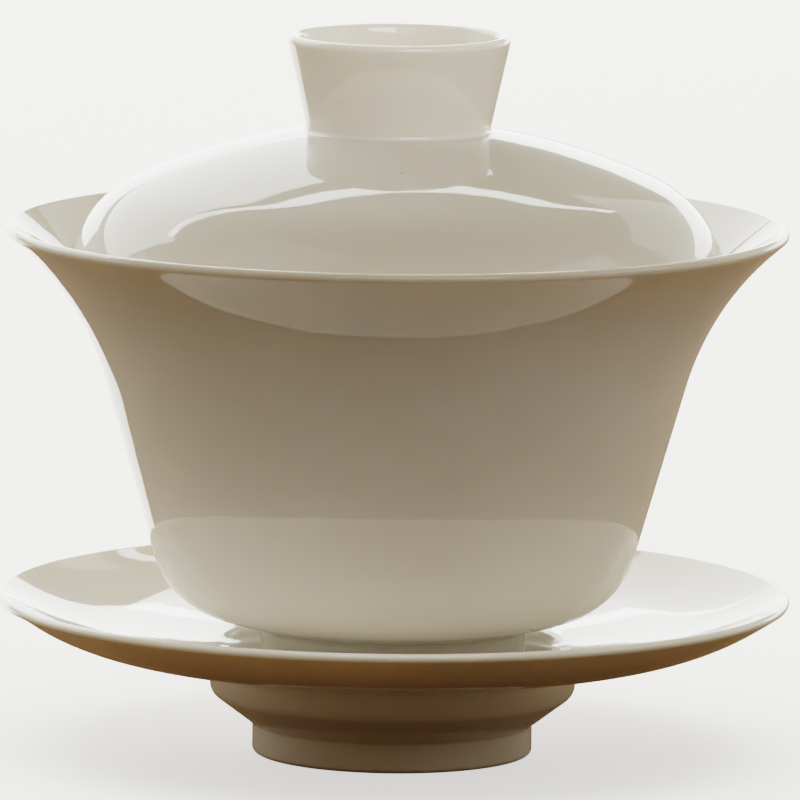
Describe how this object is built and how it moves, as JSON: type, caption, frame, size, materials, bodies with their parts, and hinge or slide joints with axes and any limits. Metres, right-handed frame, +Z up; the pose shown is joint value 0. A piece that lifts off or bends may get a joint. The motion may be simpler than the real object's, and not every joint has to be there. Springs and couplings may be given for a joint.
{
  "type": "gaiwan",
  "caption": "Lidded porcelain tea bowl with a flared rim and a domed lid, standing in the well of its own saucer; for brewing and pouring tea.",
  "frame": {"origin": "middle of the saucer's foot ring, on the surface it stands on", "axes": "+Z up, along the axis that every piece is turned on"},
  "size_m": [0.1034, 0.1034, 0.0942],
  "materials": {
    "glazed_porcelain": "gloss"
  },
  "bodies": {
    "saucer": {"saucer": "glazed_porcelain"},
    "bowl": {"bowl": "glazed_porcelain"},
    "lid": {"lid": "glazed_porcelain", "lid_knob": "glazed_porcelain"}
  },
  "joints": [
    {"name": "bowl_lift", "type": "slide", "parent": "saucer", "child": "bowl", "axis": [0, 0, 1], "range_m": [0, 0.06]},
    {"name": "lid_lift", "type": "slide", "parent": "bowl", "child": "lid", "axis": [0, 0, 1], "range_m": [0, 0.05]}
  ]
}
